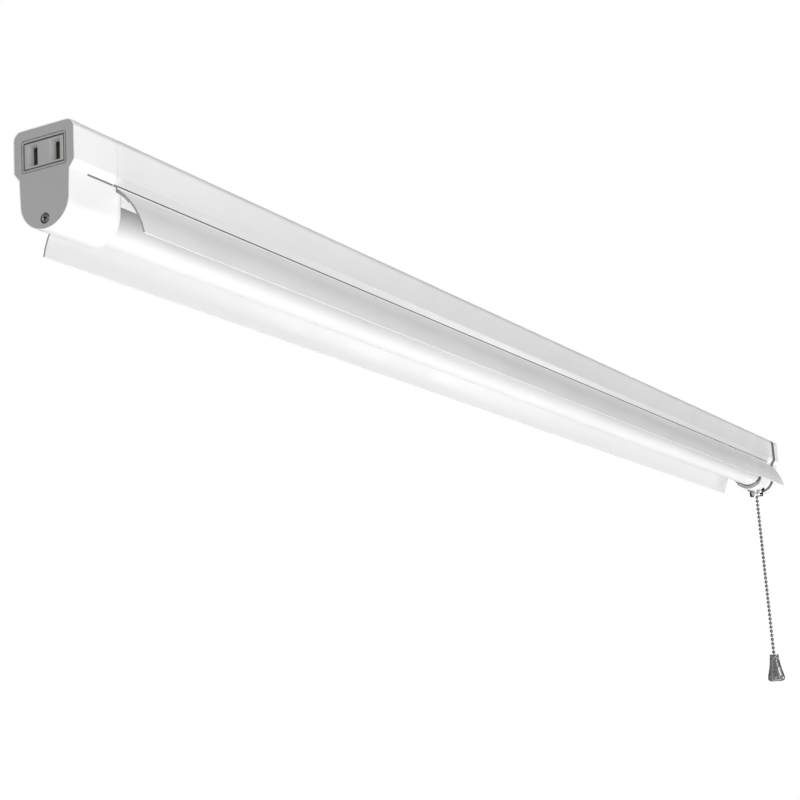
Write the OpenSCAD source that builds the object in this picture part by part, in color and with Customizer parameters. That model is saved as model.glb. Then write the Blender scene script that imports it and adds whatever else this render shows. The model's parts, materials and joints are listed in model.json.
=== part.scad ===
// Hanging shop light: a folded channel between two moulded ends, with a half-round lens
// between two curved wings, a two-slot outlet at the near end and a pull chain at the far end.
// X runs along the light, Z is up, and z = 0 is the top of the housing that hangs from its slots.

/* [Body] */
// Overall length over the two moulded ends
overall_len = 1067; // [1060:1:1080]
// Width of the housing
body_w = 34.8; // [34.6:0.2:35.2]
// Radius of the housing's top corners
corner_r = 4.5; // [3:0.5:6]
// Depth from the top to the bend at the bottom of the side
side_h = 19.8; // [19.6:0.1:20.2]
// Width of the sloped shoulder, seen from below
shoulder_w = 2.7; // [2.6:0.05:2.8]
// Thickness of the housing's sheet
sheet_t = 0.8; // [0.7:0.1:0.9]
// Inner edge of the channel's return lips, from the middle
lip_half = 9; // [8:0.5:9]
// Length of the near moulded end up to the joint with the channel
near_box_len = 31; // [29:1:33]
// Length of the far moulded end up to the joint with the channel
far_box_len = 29.5; // [28.5:0.5:30.5]
// Gap at each joint between the channel and a moulded end
joint_gap = 0.1; // [0.1:0.05:0.3]
// Distance of each hanging slot's middle from its end of the light
slot_inset = 83.5; // [78:0.5:95]
// Width of a hanging slot
slot_w = 5; // [4:0.5:6]
// Length of a hanging slot
slot_len = 20; // [16:1:24]

/* [Moulded ends] */
// Radius of the round lobe under each end
lobe_r = 14; // [13.9:0.05:14.1]
// Depth of the lobe's centre below the top
lobe_z = 35.1; // [35:0.1:35.3]
// Half width of the lobe where it meets the shoulder
lobe_top_half = 14.6; // [14.5:0.1:14.7]
// Wall of the moulded ends
end_wall = 1.6; // [1.4:0.05:1.65]
// Length of the near lobe
near_lobe_len = 37; // [36:0.5:38]
// Length of the far lobe
far_lobe_len = 47; // [46:0.5:48]
// Thickness of the grey band at the far end
band_len = 8; // [7:0.5:9]
// Length of the white cap at the far end
cap_len = 11.2; // [10.5:0.1:12]
// How far an end's tongue reaches into the channel
tongue_len = 10; // [8:1:11]
// Thickness of the near end plate
plate_t = 2; // [1.6:0.1:2.4]
// Width of the near end's rim round its plate
plate_rim = 0.5; // [0.4:0.1:0.6]

/* [Reflector and lens] */
// Distance of the reflector's near end from the near joint
near_reflector_gap = 3; // [2.5:0.5:3.5]
// Distance of the reflector's far end from the far joint
far_reflector_gap = 4.5; // [4:0.5:5]
// Radius of a wing's outer face
wing_r = 38.2; // [38:0.1:38.4]
// Distance of a wing's centre past the middle plane
wing_cy = 8.1; // [8:0.05:8.2]
// Depth of a wing's centre below the top
wing_cz = 54.9; // [54.8:0.05:55]
// Depth of the wing's lip below the top
wing_lip_z = 48.2; // [47:0.2:49]
// Depth of the crease where a wing gets thinner
crease_z = 32.4; // [32:0.1:33]
// Thickness of a wing from its root to the crease
wing_t = 1.5; // [1.4:0.1:1.6]
// Thickness of a wing from the crease to the lip
wing_thin_t = 1; // [0.9:0.1:1.1]
// Thickness of the flat pan between the wings
pan_t = 1.5; // [1.3:0.1:1.6]
// Outer radius of the lens
lens_r = 12.4; // [12.2:0.1:12.4]
// Depth of the lens's centre below the top
lens_z = 32.7; // [32.5:0.1:32.8]
// Wall of the lens
lens_t = 1.2; // [1:0.1:1.4]
// Thickness of a lens rail
rail_t = 1.6; // [1.5:0.1:1.7]
// Gap between the lens and its rails
rail_gap = 0.2; // [0.15:0.05:0.25]

/* [Lamp boards] */
// Width of a lamp board
board_w = 18; // [16:0.5:18]
// Thickness of a lamp board
board_t = 1.6; // [1.4:0.1:1.8]
// Distance of a lamp board's outer end from the reflector's end
board_inset = 3.5; // [3:0.5:6]
// Chips on each board
chips = 36; // [24:1:40]
// Length and width of a chip
chip_w = 2.8; // [2.6:0.1:3.2]
// Height of a chip
chip_t = 0.7; // [0.6:0.1:0.8]

/* [Outlet] */
// Width of the outlet insert
insert_w = 22.6; // [22:0.1:23]
// Height of the outlet insert
insert_h = 12.4; // [12:0.1:12.8]
// Depth of the outlet's centre below the top
outlet_z = 13; // [12.8:0.1:13.2]
// Distance between the two blade slots
blade_pitch = 12.7; // [12.6:0.05:12.8]
// Width of a tapered slot mouth
mouth_w = 5.1; // [4.8:0.1:5.4]
// Height of a tapered slot mouth
mouth_h = 10.4; // [10:0.1:10.6]
// Width of a blade slot
blade_w = 2; // [1.8:0.1:2.2]
// Height of a blade slot
blade_h = 8.4; // [8:0.1:8.6]
// Depth of the outlet insert
insert_d = 12; // [11:0.5:13]

/* [Pull switch] */
// Distance of the pull chain from the far end face
chain_inset = 26.2; // [26:0.1:26.4]
// Diameter of a chain bead
bead_d = 3; // [2.8:0.1:3.2]
// Pitch of the chain beads
bead_pitch = 3.85; // [3.8:0.05:3.95]
// Diameter of the links between beads
link_d = 0.9; // [0.8:0.1:1]
// Beads below the one that the chain hangs by
beads = 44; // [42:1:44]
// Depth of the bead that the chain hangs by
lead_z = 51; // [50.9:0.1:51.1]
// Travel of the pull chain
pull_travel = 6; // [5:0.5:6]
// Length of the switch lever's arm
lever_arm = 6.5; // [6.3:0.1:6.7]
// Depth of the lever's pivot below the top
pivot_z = 32; // [31.8:0.1:32.2]
// Radius of the switch's contact drum
drum_r = 3.2; // [3:0.1:3.3]
// Width of the switch case
case_w = 12; // [11.6:0.2:12]
// Wall of the switch case
case_wall = 1.2; // [1:0.1:1.2]
// Radius of the switch's threaded neck
neck_r = 3.9; // [3.8:0.05:4]
// Bore radius of the switch's neck
neck_bore = 2.3; // [2.25:0.05:2.4]
// Diameter of the bell mouth
bell_d = 12.5; // [12:0.1:13]
// Diameter of the saddle washer above the bell
saddle_d = 16; // [15.5:0.1:16.5]

/* [Knob] */
// Depth of the knob's top below the housing's top
knob_top_z = 203.5; // [203:0.1:204]
// Diameter of the knob's top
knob_top_d = 8.2; // [8:0.1:8.6]
// Greatest diameter of the knob
knob_d = 15.6; // [15:0.1:16]
// Height of the knob
knob_h = 24.5; // [24:0.1:25]

/* [Driver and wires] */
// Length of the driver board
driver_len = 170; // [150:5:180]
// Width of the driver board
driver_w = 24; // [22:0.5:25]
// Radius of the mains wires
wire_r = 1.1; // [1:0.05:1.2]
// Radius of the lamp leads
lead_r = 0.7; // [0.6:0.05:0.8]
// Clips that hold the mains wires
clip_count = 5; // [3:1:6]

/* [Hidden] */
$fn = 48;
fit = 0.1;
seat = 0.3;
overlap = 0.5;
wire_sides = 10;
half = body_w / 2;
end_x = overall_len / 2;
slope_h = shoulder_w * 4 / 3;
shoulder_half = half - shoulder_w;
floor_z = side_h + slope_h;
lip_top_z = floor_z - sheet_t;
near_joint_x = -end_x + near_box_len;
far_joint_x = end_x - far_box_len;
channel_x0 = near_joint_x + joint_gap;
channel_x1 = far_joint_x - joint_gap;
near_lobe_x = -end_x + near_lobe_len;
far_lobe_x = end_x - far_lobe_len;
band_x1 = end_x - cap_len;
band_x0 = band_x1 - band_len;
rim_depth = 5.6;
rim_step = 0.15;
lobe_clip_z = floor_z + 2.6;
lens_rim_t = 2;
groove_cut = 0.8;
slot_x = end_x - slot_inset;
reflector_x0 = near_joint_x + near_reflector_gap;
reflector_x1 = far_joint_x - far_reflector_gap;
board_x0 = reflector_x0 + board_inset;
board_x1 = reflector_x1 - board_inset;

// Quarter circle that starts at the given angle
function arc(y, z, r, start) =
    [for (a = [0 : 9 : 90]) [y + r * cos(start + a), z + r * sin(start + a)]];

// Outline shared by the housing, the end plates and the upper part of the ends, drawn with Y
// across and Z up, and drawn in by the given distance all round
module body_outline(inset) {
    corner = corner_r - inset;
    polygon(concat(
        arc(half - corner_r, -corner_r, corner, 0),
        arc(-(half - corner_r), -corner_r, corner, 90),
        [
            [-(half - inset), -side_h + inset / 3],
            [-(shoulder_half - inset / 2), -floor_z + inset],
            [shoulder_half - inset / 2, -floor_z + inset],
            [half - inset, -side_h + inset / 3]
        ]
    ));
}

// Outline of the round lobe under each end
module lobe_outline(inset) {
    r = lobe_r - inset;
    polygon(concat(
        [[-(lobe_top_half - inset), -side_h - inset / 2]],
        [for (a = [180 : 4 : 360]) [r * cos(a), -lobe_z + r * sin(a)]],
        [[lobe_top_half - inset, -side_h - inset / 2]]
    ));
}

module end_outline(inset) {
    body_outline(inset);
    lobe_outline(inset);
}

// Extrudes an outline of Y and Z along X
module along(x0, x1) {
    translate([x0, 0, 0]) rotate([90, 0, 90]) linear_extrude(x1 - x0) children();
}

module box(x, y, z) {
    translate([x[0], y[0], z[0]]) cube([x[1] - x[0], y[1] - y[0], z[1] - z[0]]);
}

module rod_x(x0, x1, y, z, r) {
    translate([x0, y, z]) rotate([0, 90, 0]) cylinder(h = x1 - x0, r = r);
}

function unit(v) = v / norm(v);
function run(points, i) = unit(points[i + 1] - points[i]);

// Normal of the mitre at one point of a route
function mitre(points, i) =
    i == 0 ? run(points, 0)
    : i == len(points) - 1 ? run(points, i - 1)
    : unit(run(points, i - 1) + run(points, i));

// Offsets of a wire's ring at one point, carried along the route so that the wire never twists
function ring(points, r, i) =
    i == 0
    ? let (d = run(points, 0), u = unit(cross(d, [0.1, 0.2, 1])), v = cross(d, u))
        [for (a = [0 : 360 / wire_sides : 359]) r * (cos(a) * u + sin(a) * v)]
    : let (d = run(points, i - 1), n = mitre(points, i))
        [for (o = ring(points, r, i - 1)) o - d * (o * n) / (d * n)];

// Wire along a list of points, mitred at each bend
module wire(points, r) {
    last = len(points) - 1;
    spots = [for (i = [0 : last]) for (o = ring(points, r, i)) points[i] + o];
    sides = [for (i = [0 : last - 1]) for (j = [0 : wire_sides - 1])
        let (a = i * wire_sides + j, b = i * wire_sides + (j + 1) % wire_sides)
            [a, a + wire_sides, b + wire_sides, b]];
    caps = [
        [for (j = [0 : wire_sides - 1]) j],
        [for (j = [wire_sides - 1 : -1 : 0]) last * wire_sides + j]
    ];
    polyhedron(spots, concat(sides, caps), convexity = 4);
}

// Cross-head screw along -Z from its head's underside at the origin
module screw(head_r, head_h, shank_r, shank_len) {
    arm = head_r * 0.62;
    difference() {
        cylinder(h = head_h, r = head_r);
        for (turn = [0, 90])
            rotate(turn) translate([-arm, -head_r * 0.13, head_h * 0.45])
                cube([2 * arm, head_r * 0.26, head_h]);
    }
    translate([0, 0, -shank_len]) cylinder(h = shank_len + head_h * 0.2, r = shank_r);
}

// ---- Housing ----

snap_r = 2;
snap_inset = 6;
near_snap_x = channel_x0 + snap_inset;
far_snap_x = channel_x1 - snap_inset;

module slot_hole(x) {
    for (end = [-1, 1])
        translate([x + end * (slot_len - slot_w) / 2, 0, -2 * sheet_t])
            cylinder(h = 3 * sheet_t, r = slot_w / 2);
    box([x - (slot_len - slot_w) / 2, x + (slot_len - slot_w) / 2], [-slot_w / 2, slot_w / 2],
        [-2 * sheet_t, sheet_t]);
}

module housing_channel() {
    color("whitesmoke") difference() {
        along(channel_x0, channel_x1) difference() {
            body_outline(0);
            body_outline(sheet_t);
            translate([-lip_half, -floor_z - overlap]) square([2 * lip_half, 2 * sheet_t]);
        }
        for (side = [-1, 1]) slot_hole(side * slot_x);
        for (x = [near_snap_x, far_snap_x])
            translate([x, 0, -2 * sheet_t]) cylinder(h = 3 * sheet_t, r = snap_r);
        for (x = reflector_screw_x, side = [-1, 1])
            translate([x, side * reflector_screw_y, -floor_z - overlap])
                cylinder(h = 2 * sheet_t, r = reflector_screw_r + 0.02);
    }
}

// ---- Moulded ends ----

tongue_inset = sheet_t + fit;
tongue_wall = 1.4;

module tongue(x0, x1) {
    along(x0, x1) difference() {
        body_outline(tongue_inset);
        body_outline(tongue_inset + tongue_wall);
        translate([-lip_half, -floor_z - overlap]) square([2 * lip_half, 2 + tongue_wall + sheet_t]);
    }
}

module snap_peg(x) {
    translate([x, 0, -tongue_inset - tongue_wall / 2])
        cylinder(h = tongue_inset + tongue_wall / 2 - fit, r = snap_r - fit);
}

// Lobe wall cut off above the given depth, to pass under the channel or inside the wings
module clipped_lobe(x0, x1, inset, clip_z) {
    along(x0, x1) difference() {
        lobe_outline(inset);
        lobe_outline(end_wall);
        translate([-2 * lobe_r, -clip_z]) square([4 * lobe_r, clip_z]);
    }
}

// Rim at a lobe's open end that the lens passes through
module lens_rim(x0, inset) {
    along(x0, x0 + lens_rim_t) difference() {
        lobe_outline(inset);
        translate([0, -lens_z]) circle(r = lens_r + rail_gap, $fn = 120);
        translate([-lens_r - rail_gap, -lens_z]) square([2 * (lens_r + rail_gap), lens_z]);
        translate([-2 * lobe_r, -lobe_clip_z]) square([4 * lobe_r, lobe_clip_z]);
    }
}

// Fine groove where the shoulder meets the lobe
module shoulder_groove(x0, x1) {
    for (side = [-1, 1])
        box([x0, x1], side > 0 ? [shoulder_half - groove_cut, shoulder_half + fit]
            : [-shoulder_half - fit, -shoulder_half + groove_cut],
            [-floor_z - groove_cut / 2, -floor_z + groove_cut / 2]);
}

near_screw_z = 44;
near_screw_r = 1.5;
near_screw_len = 9;
near_ledge_x = -end_x + plate_t;
boss_r = 4;

// Hollow wall of a moulded end
module end_shell(x0, x1, inset) {
    along(x0, x1) difference() {
        end_outline(inset);
        end_outline(end_wall);
    }
}

module near_shroud() {
    boss_x1 = near_ledge_x + near_screw_len + 2;
    color("white") difference() {
        union() {
            end_shell(-end_x, -end_x + rim_depth, 0);
            end_shell(-end_x + rim_depth - overlap, near_joint_x, rim_step);
            clipped_lobe(near_joint_x - overlap, reflector_x0 - seat, rim_step, floor_z + fit);
            clipped_lobe(near_joint_x - overlap, near_lobe_x, rim_step, lobe_clip_z);
            lens_rim(near_lobe_x - lens_rim_t, rim_step);
            tongue(near_joint_x - 3, channel_x0 + tongue_len);
            snap_peg(near_snap_x);
            intersection() {
                rod_x(near_ledge_x, boss_x1, 0, -near_screw_z, boss_r);
                along(near_ledge_x, boss_x1) lobe_outline(end_wall - overlap);
            }
        }
        along(-end_x - 1, near_ledge_x) end_outline(plate_rim);
        rod_x(near_ledge_x - overlap, near_ledge_x + near_screw_len, 0, -near_screw_z,
            near_screw_r + 0.02);
        shoulder_groove(-end_x + rim_depth + 7, reflector_x0);
    }
}

near_plate_x1 = near_ledge_x - fit / 2;
window_gap = 0.45;
groove_half_w = 12.8;
groove_half_h = 7.9;
groove_w = 0.5;
groove_d = 0.6;
screw_head_r = 2.5;
screw_head_h = 1.4;

module rounded_rect(half_w, half_h, r) {
    y = half_w - r;
    z = half_h - r;
    polygon(concat(arc(y, z, r, 0), arc(-y, z, r, 90), arc(-y, -z, r, 180), arc(y, -z, r, 270)));
}

module near_plate() {
    color("darkgray") difference() {
        along(-end_x, near_plate_x1) end_outline(plate_rim + fit);
        along(-end_x - 1, near_plate_x1 + 1) translate([0, -outlet_z])
            square([insert_w + 2 * window_gap, insert_h + 2 * window_gap], center = true);
        along(-end_x - 1, -end_x + groove_d) translate([0, -outlet_z]) difference() {
            rounded_rect(groove_half_w, groove_half_h, 1.4);
            rounded_rect(groove_half_w - groove_w, groove_half_h - groove_w, 1);
        }
        rod_x(-end_x - 1, near_plate_x1 + 1, 0, -near_screw_z, near_screw_r + 0.2);
        rod_x(-end_x - 1, -end_x + screw_head_h, 0, -near_screw_z, screw_head_r + fit);
    }
}

module near_screw() {
    color("dimgray") translate([-end_x + screw_head_h, 0, -near_screw_z]) rotate([0, -90, 0])
        screw(screw_head_r, screw_head_h - fit, near_screw_r, near_screw_len);
}

// ---- Outlet ----

insert_x1 = -end_x + insert_d;
flange_t = 1.5;
flange_reach = 0.9;
contact_t = 0.5;

mouth_d = 4;

// Slot mouth that narrows in steps from the outlet's face to the blade slot
module mouth(y) {
    steps = 8;
    for (i = [0 : steps - 1]) {
        share = i / steps;
        w = mouth_w + (blade_w - mouth_w) * share;
        h = mouth_h + (blade_h - mouth_h) * share;
        box([-end_x - 1, -end_x + mouth_d * (i + 1) / steps], [y - w / 2, y + w / 2],
            [-outlet_z - h / 2, -outlet_z + h / 2]);
    }
    box([-end_x, insert_x1 + 1], [y - blade_w / 2, y + blade_w / 2],
        [-outlet_z - blade_h / 2, -outlet_z + blade_h / 2]);
}

module outlet_insert() {
    flange_w = insert_w + 2 * window_gap + 2 * flange_reach;
    flange_h = insert_h + 2 * window_gap + 2 * flange_reach;
    color("gray") difference() {
        union() {
            along(-end_x, insert_x1) translate([0, -outlet_z])
                square([insert_w, insert_h], center = true);
            along(near_plate_x1, near_plate_x1 + flange_t) translate([0, -outlet_z])
                square([flange_w, flange_h], center = true);
        }
        for (side = [-1, 1]) mouth(side * blade_pitch / 2);
    }
}

contact_x0 = -end_x + mouth_d + 0.5;
contact_x1 = insert_x1 + 1.5;
contact_half_h = 3;

module outlet_contacts() {
    outer = blade_w / 2 - fit / 2;
    color("goldenrod") for (side = [-1, 1], face = [-1, 1]) {
        y = side * blade_pitch / 2;
        leaf = face > 0 ? [y + outer - contact_t, y + outer] : [y - outer, y - outer + contact_t];
        box([contact_x0, contact_x1], leaf, [-outlet_z - contact_half_h, -outlet_z + contact_half_h]);
        box([contact_x1 - contact_t, contact_x1], [y - outer, y + outer],
            [-outlet_z - contact_half_h, -outlet_z + contact_half_h]);
    }
}

// ---- Reflector and lens ----

reflector_screw_r = 1;
reflector_screw_y = 10.8;
reflector_screw_x = [0.8 * reflector_x0, 0, 0.8 * reflector_x1];
pan_z = floor_z + pan_t;
rail_half = lens_r + rail_gap;
rail_bottom_z = pan_z + 6.6;
ridge_z = lens_z - 4.6;
ridge_h = 0.9;
ridge_out = 0.6;
lens_top_z = lens_z - 5.6;

// Band between two wing faces of different radius, between two depths
module wing_band(t, z_top, z_bottom) {
    intersection() {
        translate([-wing_cy, -wing_cz]) difference() {
            circle(r = wing_r, $fn = 180);
            circle(r = wing_r - t, $fn = 180);
        }
        translate([lens_r, -z_bottom]) square([wing_r, z_bottom - z_top]);
    }
}

module wing() {
    wing_band(wing_t, floor_z, crease_z);
    wing_band(wing_thin_t, crease_z - overlap, wing_lip_z);
}

module reflector_section() {
    for (side = [0, 1]) mirror([side, 0]) wing();
    translate([-shoulder_half, -pan_z]) square([2 * shoulder_half, pan_t]);
}

module rail() {
    difference() {
        translate([rail_half, -rail_bottom_z]) square([rail_t, rail_bottom_z - floor_z - overlap]);
        translate([rail_half - 1, -ridge_z - ridge_h - rail_gap])
            square([1 + ridge_out + rail_gap, ridge_h + 2 * rail_gap]);
    }
}

module reflector() {
    color("white") difference() {
        union() {
            along(reflector_x0, reflector_x1) reflector_section();
            along(near_lobe_x + seat, far_lobe_x - seat)
                for (side = [0, 1]) mirror([side, 0]) rail();
        }
        for (x = reflector_screw_x, side = [-1, 1])
            translate([x, side * reflector_screw_y, -pan_z - 1])
                cylinder(h = 3 * pan_t, r = reflector_screw_r + fit);
        for (x = board_screw_x)
            translate([x, board_screw_y, -pan_z - 1]) cylinder(h = 3 * pan_t, r = board_screw_r + 0.02);
        translate([grommet_x, 0, -pan_z - 1]) cylinder(h = 3 * pan_t, r = grommet_r);
    }
}

module reflector_screws() {
    color("silver") for (x = reflector_screw_x, side = [-1, 1])
        translate([x, side * reflector_screw_y, -pan_z]) rotate([180, 0, 0])
            screw(1.6, 1, reflector_screw_r, pan_t + sheet_t + 2);
}

// Lens wall in section, with or without the ridges that snap into the rails
module lens_section(ridge) {
    inner = lens_r - lens_t;
    difference() {
        union() {
            translate([0, -lens_z]) circle(r = lens_r, $fn = 120);
            translate([-lens_r, -lens_z]) square([2 * lens_r, lens_z - lens_top_z]);
            translate([-lens_r - ridge, -ridge_z - ridge_h])
                square([2 * (lens_r + ridge), ridge_h]);
        }
        translate([0, -lens_z]) circle(r = inner, $fn = 120);
        translate([-inner, -lens_z]) square([2 * inner, lens_z]);
    }
}

lens_x0 = near_joint_x - 3.5;
lens_x1 = far_lobe_x + 6.5;

module lens() {
    color("ghostwhite") {
        along(near_lobe_x + 1, far_lobe_x - 1) lens_section(ridge_out);
        along(lens_x0, near_lobe_x + 1) lens_section(0);
        along(far_lobe_x - 1, lens_x1) lens_section(0);
    }
}

// ---- Lamp boards ----

board_gap_half = 8;
board_z = pan_z + board_t;
board_screw_y = 6;
board_screw_r = 0.9;
board_screw_x = [board_x0 + 18, board_x0 / 2, -30, 30, board_x1 / 2, board_x1 - 18];
grommet_x = 0;
grommet_r = 3.4;
chip_start = 24;
link_y = 5;
connector = [6, 5, 2.4];
lead_y = 1.6;
board_lead_z = board_z + lead_r + fit / 2;

module led_board(side) {
    color("white") difference() {
        box(side > 0 ? [board_gap_half, board_x1] : [board_x0, -board_gap_half],
            [-board_w / 2, board_w / 2], [-board_z, -pan_z]);
        for (x = board_screw_x)
            translate([x, board_screw_y, -board_z - 1]) cylinder(h = board_t + 2, r = board_screw_r + fit);
    }
}

module led_board_near() led_board(-1);

module led_board_far() led_board(1);

module led_chips(side) {
    last = side > 0 ? board_x1 - chip_w : board_x0 + chip_w;
    pitch = (last - side * chip_start) / (chips - 1);
    color("khaki") for (i = [0 : chips - 1])
        translate([side * chip_start + i * pitch - chip_w / 2, -chip_w / 2, -board_z - chip_t])
            cube([chip_w, chip_w, chip_t]);
}

module led_chips_near() led_chips(-1);

module led_chips_far() led_chips(1);

// Two plugs and the wire that joins the boards
module board_link() {
    reach = board_gap_half + 2;
    z = board_z + connector[2] / 2;
    color("ivory") {
        for (side = [-1, 1])
            translate([side * (reach + connector[0] / 2) - connector[0] / 2, -link_y - connector[1] / 2,
                -board_z - connector[2]])
                cube(connector);
        rod_x(-reach - 1, reach + 1, -link_y, -z, lead_r);
    }
}

module board_screws() {
    color("silver") for (x = board_screw_x)
        translate([x, board_screw_y, -board_z]) rotate([180, 0, 0])
            screw(1.7, 0.9, board_screw_r, board_t + pan_t);
}

// ---- Far end ----

cap_wall = 3;
band_wall = 2;
cap_screw_y = 11.6;
cap_screw_z = 4.3;
cap_screw_r = 1.25;
cap_boss_r = 2.8;
cap_head_h = 1.6;
cap_head_r = 2.3;
gland_z = 12.5;
gland_r = 3;
gland_bore = 2.5;
gland_out = 4;
gland_flange_t = 1.2;
gland_x0 = end_x - cap_wall - gland_flange_t;
chain_x = end_x - chain_inset;
saddle_gap = 0.02;

module cap_bosses(x0, x1) {
    for (side = [-1, 1]) rod_x(x0, x1, side * cap_screw_y, -cap_screw_z, cap_boss_r);
}

module cap_screw_holes(r) {
    for (side = [-1, 1])
        rod_x(far_joint_x - 1, end_x + 1, side * cap_screw_y, -cap_screw_z, r);
}

module far_shroud() {
    color("white") difference() {
        union() {
            end_shell(far_joint_x, band_x0, 0);
            clipped_lobe(reflector_x1 + seat, far_joint_x + overlap, 0, floor_z + fit);
            clipped_lobe(far_lobe_x, far_joint_x + overlap, 0, lobe_clip_z);
            lens_rim(far_lobe_x, 0);
            tongue(channel_x1 - tongue_len, far_joint_x + 3);
            snap_peg(far_snap_x);
            cap_bosses(far_joint_x + 1, band_x0);
        }
        cap_screw_holes(cap_screw_r + 0.02);
        translate([chain_x, 0, -lobe_z - 2 * lobe_r]) cylinder(h = 2 * lobe_r, r = neck_r + fit);
    }
}

module far_band() {
    color("gray") difference() {
        union() {
            along(band_x0, band_x1) difference() {
                end_outline(0);
                end_outline(band_wall);
            }
            cap_bosses(band_x0, band_x1);
        }
        cap_screw_holes(cap_screw_r + 0.2);
    }
}

module far_cap() {
    color("white") difference() {
        union() {
            end_shell(band_x1, end_x, 0);
            along(end_x - cap_wall, end_x) end_outline(end_wall - fit);
            cap_bosses(band_x1, end_x - cap_wall);
        }
        cap_screw_holes(cap_screw_r + 0.2);
        for (side = [-1, 1])
            rod_x(end_x - cap_head_h, end_x + 1, side * cap_screw_y, -cap_screw_z, cap_head_r + fit);
        rod_x(end_x - cap_wall - 1, end_x + 1, 0, -gland_z, gland_r + fit);
    }
}

module cap_screws() {
    head_x = end_x - cap_head_h;
    color("silver") for (side = [-1, 1])
        translate([head_x, side * cap_screw_y, -cap_screw_z]) rotate([0, 90, 0])
            screw(cap_head_r, cap_head_h - fit, cap_screw_r, head_x - far_joint_x - 3);
}

module cord_gland() {
    color("whitesmoke") difference() {
        union() {
            rod_x(gland_x0, end_x + gland_out, 0, -gland_z, gland_r);
            rod_x(gland_x0, end_x - cap_wall, 0, -gland_z, gland_r + 1.4);
            rod_x(end_x, end_x + gland_flange_t, 0, -gland_z, gland_r + 1);
        }
        rod_x(end_x - 2 * cap_wall, end_x + gland_out + 1, 0, -gland_z, gland_bore);
    }
}

// ---- Driver ----

driver_x0 = 100;
driver_x1 = driver_x0 + driver_len;
tray_t = 0.8;
tray_wall_h = 6;
standoff_h = 2.8;
standoff_r = 2.4;
tray_half = driver_w / 2 + 1.2;
tray_z = lip_top_z - tray_t;
driver_bottom_z = tray_z - standoff_h;
driver_top_z = driver_bottom_z - 1.6;
driver_screw_r = 1;
driver_hole_inset = 6;

module at_driver_corners() {
    for (x = [driver_x0 + driver_hole_inset, driver_x1 - driver_hole_inset], side = [-1, 1])
        translate([x, side * (driver_w / 2 - 3), 0]) children();
}

module driver_tray() {
    color("dimgray") {
        box([driver_x0 - 1, driver_x1 + 1], [-tray_half, tray_half], [-lip_top_z, -tray_z]);
        for (side = [-1, 1])
            box([driver_x0 - 1, driver_x1 + 1],
                side > 0 ? [tray_half - tray_t, tray_half] : [-tray_half, -tray_half + tray_t],
                [-tray_z - tray_t / 2, -tray_z + tray_wall_h]);
        at_driver_corners() difference() {
            translate([0, 0, -tray_z - tray_t / 2]) cylinder(h = standoff_h + tray_t / 2, r = standoff_r);
            translate([0, 0, -tray_z + 0.2]) cylinder(h = standoff_h, r = driver_screw_r + 0.02);
        }
    }
}

module driver_board() {
    color("darkgreen") difference() {
        box([driver_x0, driver_x1], [-driver_w / 2, driver_w / 2], [-driver_bottom_z, -driver_top_z]);
        at_driver_corners()
            translate([0, 0, -driver_bottom_z - 1]) cylinder(h = 4, r = driver_screw_r + fit);
    }
}

module driver_screws() {
    color("silver") at_driver_corners() translate([0, 0, -driver_top_z])
        screw(1.8, 1, driver_screw_r, standoff_h + 0.8);
}

// Length, width and height of the transformer's core
core = [20, 16, 10];

module driver_transformer() {
    x = driver_x0 + driver_len * 0.45;
    color("black") {
        translate([x - core[0] / 2, -core[1] / 2, -driver_top_z]) cube([core[0], core[1], 2]);
        translate([x - core[0] / 2, -core[1] / 2, -driver_top_z + core[2] - 2])
            cube([core[0], core[1], 2]);
        translate([x, 0, -driver_top_z]) cylinder(h = core[2] - 0.5, r = core[1] / 2 - 1);
    }
}

// Each capacitor's place along the board, place across it and radius
capacitors = [[0.68, 0, 5], [0.8, -3, 4], [0.24, 4, 4]];
capacitor_h = 10;

module driver_capacitors() {
    color("midnightblue") for (c = capacitors)
        translate([driver_x0 + driver_len * c[0], c[1], -driver_top_z])
            cylinder(h = capacitor_h, r = c[2]);
}

// Place along the board, place across it and size of the rectifier, the switching chip, the
// choke and the fuse
small_parts = [
    [0.92, 2, [4, 8, 5]],
    [0.6, -5, [5, 4, 2]],
    [0.34, -3, [9, 6, 7]],
    [0.16, -3, [5, 5, 2]]
];

module driver_chips() {
    color("dimgray") for (c = small_parts)
        translate([driver_x0 + driver_len * c[0] - c[2][0] / 2, c[1] - c[2][1] / 2, -driver_top_z])
            cube(c[2]);
}

// ---- Wiring ----

block_x1 = channel_x1 - 12.9;
block_x0 = block_x1 - 21;
pole_pitch = 4;
pole_y0 = -1.5;
pole_z = 6;
pole_hole_d = 6;
block_bottom_z = 10;
lane_z = 3.7;
lane_y = 7.4;
lane_pitch = 2.7;
inner_bend_x = block_x0 - 10;
outer_bend_x = inner_bend_x + 1.5;
first_clip_x = 50 - slot_x;
last_clip_x = block_x0 - 70;
clip_x = [for (i = [0 : clip_count - 1])
    first_clip_x + i * (last_clip_x - first_clip_x) / (clip_count - 1)];
clip_wall = 1;
clip_w = 6;

function pole_y(i) = pole_y0 + i * pole_pitch;

module terminal_block() {
    color("ivory") difference() {
        box([block_x0, block_x1], [pole_y(0) - 2.4, pole_y(3) + 2.4], [-block_bottom_z, -sheet_t]);
        for (i = [0 : 3]) {
            rod_x(block_x0 - 1, block_x0 + pole_hole_d, pole_y(i), -pole_z, wire_r + fit);
            rod_x(block_x1 - pole_hole_d, block_x1 + 1, pole_y(i), -pole_z, wire_r + fit);
        }
    }
}

// Wire that runs in a lane under the housing's top and turns into one pole of the terminal block
module lane_wire(start, y, pole, bend_x) {
    wire(concat(start, [
        [bend_x, y, -lane_z],
        [block_x0 - 2, pole_y(pole), -pole_z],
        [block_x0 + pole_hole_d - 1, pole_y(pole), -pole_z]
    ]), wire_r);
}

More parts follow.
